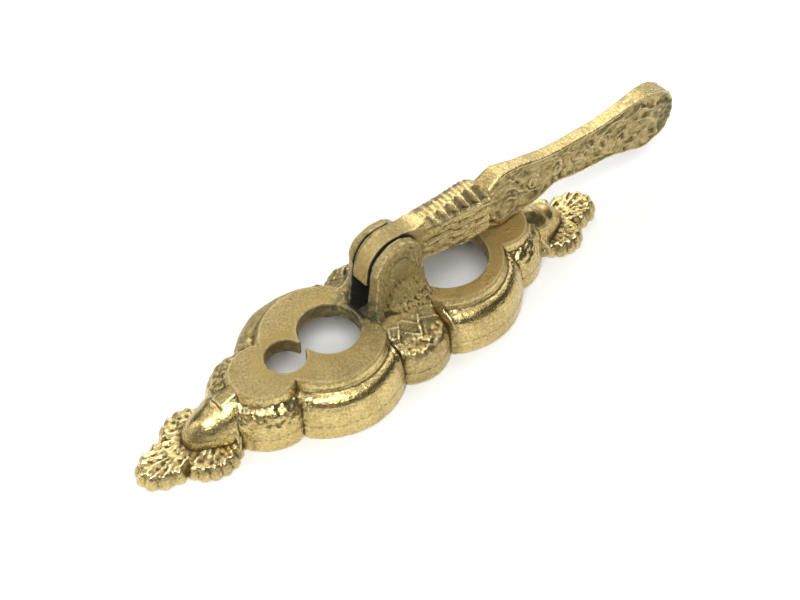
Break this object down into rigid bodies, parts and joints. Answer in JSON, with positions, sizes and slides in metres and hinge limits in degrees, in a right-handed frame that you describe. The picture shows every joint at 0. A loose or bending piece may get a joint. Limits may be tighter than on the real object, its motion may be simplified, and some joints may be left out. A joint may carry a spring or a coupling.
{
  "type": "hinged lever handle",
  "caption": "Ornamental brass backplate with a scalloped edge, leaf ends and a pierced table, and a ribbed lever that swings on a cross pin between two ears.",
  "frame": {"origin": "middle of the whole object's box, on the plane that the plate is mounted on", "axes": "+X along the plate towards the lever's tip, +Z out of the mounting plane, +Y across the plate"},
  "size_m": [0.1736, 0.0408, 0.0342],
  "materials": {
    "plate_brass": "aged, polished on the high spots, dark in the recesses",
    "lever_brass": "aged and worn bright along the edges",
    "pin_brass": "filed flush"
  },
  "bodies": {
    "plate": {"backplate": "plate_brass", "pivot_pin": "pin_brass"},
    "lever": {"lever": "lever_brass"}
  },
  "joints": [
    {"name": "lever_pivot", "type": "hinge", "parent": "plate", "child": "lever", "pos_m": [-0.01385, 0, 0.0266], "axis": [0, -1, 0], "range_deg": [0, 185]}
  ]
}
